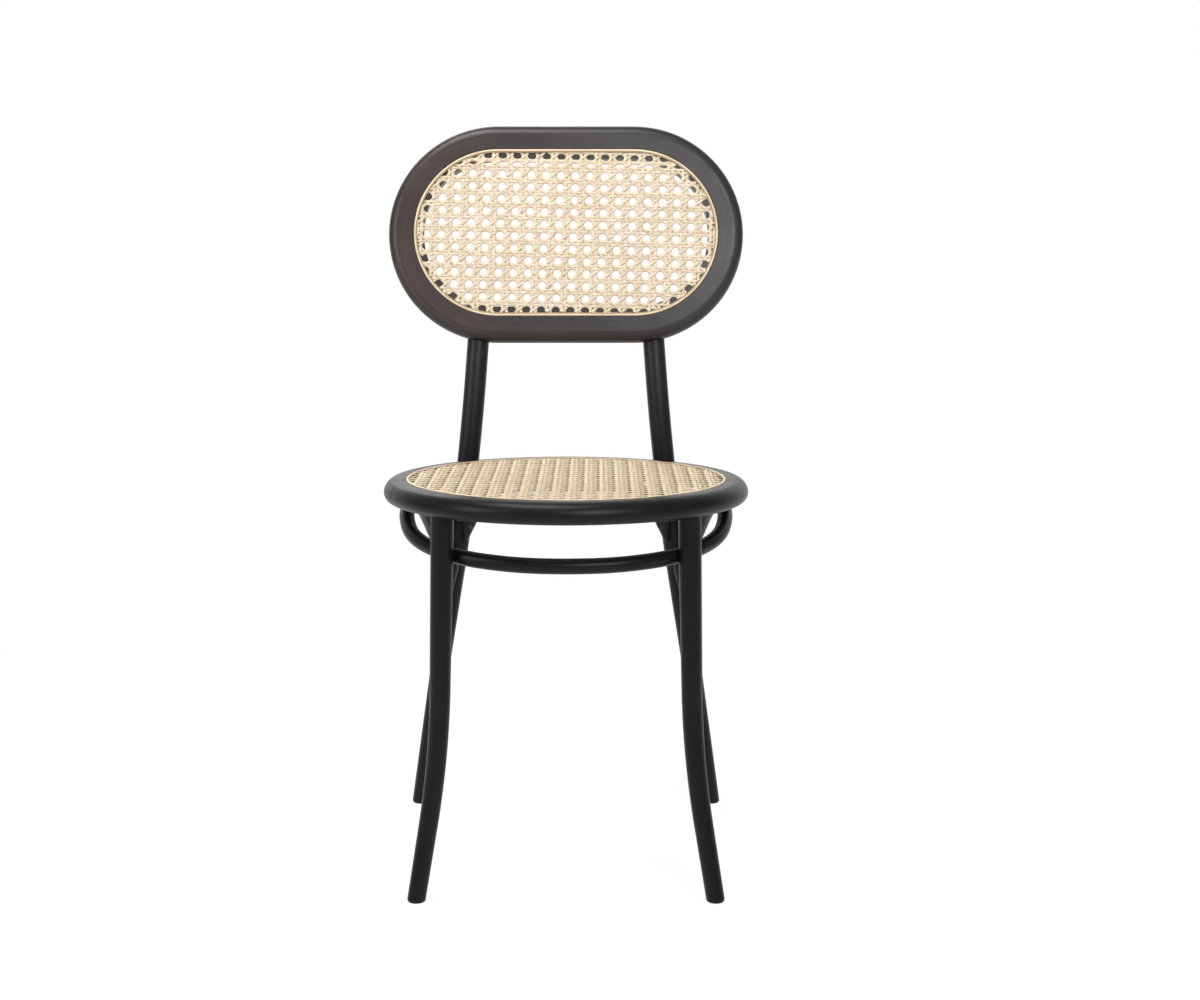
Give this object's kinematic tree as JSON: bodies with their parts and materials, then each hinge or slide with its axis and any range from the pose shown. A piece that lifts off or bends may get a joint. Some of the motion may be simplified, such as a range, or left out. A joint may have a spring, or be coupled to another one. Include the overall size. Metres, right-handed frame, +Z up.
{
  "type": "bentwood bistro chair",
  "caption": "Bentwood side chair with a round woven cane seat, an oval cane backrest on bent rear legs, splayed front legs and a bent stretcher hoop under the seat.",
  "frame": {"origin": "on the floor, under the middle of the chair's width and overall depth", "axes": "+Z up, +Y from the seat's front to its back, +X to the right of a viewer who faces the chair's front"},
  "size_m": [0.4524, 0.484, 0.8865],
  "materials": {
    "stained_wood": "black stained, satin lacquer",
    "seat_cane": "woven natural cane, tan",
    "back_cane": "woven natural cane, cream",
    "reed": "smooth split reed",
    "steel": "darkened steel"
  },
  "bodies": {
    "root": {"seat_ring": "stained_wood", "back_frame": "stained_wood", "front_leg_right": "stained_wood", "front_leg_left": "stained_wood", "rear_leg_right": "stained_wood", "rear_leg_left": "stained_wood", "stretcher_hoop": "stained_wood", "rear_arch_brace": "stained_wood", "seat_cane": "seat_cane", "back_cane": "back_cane", "seat_spline": "reed", "back_spline": "reed", "rear_leg_bolts": "steel", "rear_leg_washers": "steel", "rear_leg_nuts": "steel", "hoop_leg_screws": "steel", "hoop_ring_screws": "steel", "hoop_end_screws": "steel", "brace_ring_screws": "steel", "brace_end_screws": "steel", "back_lap_screws": "steel"}
  },
  "joints": []
}
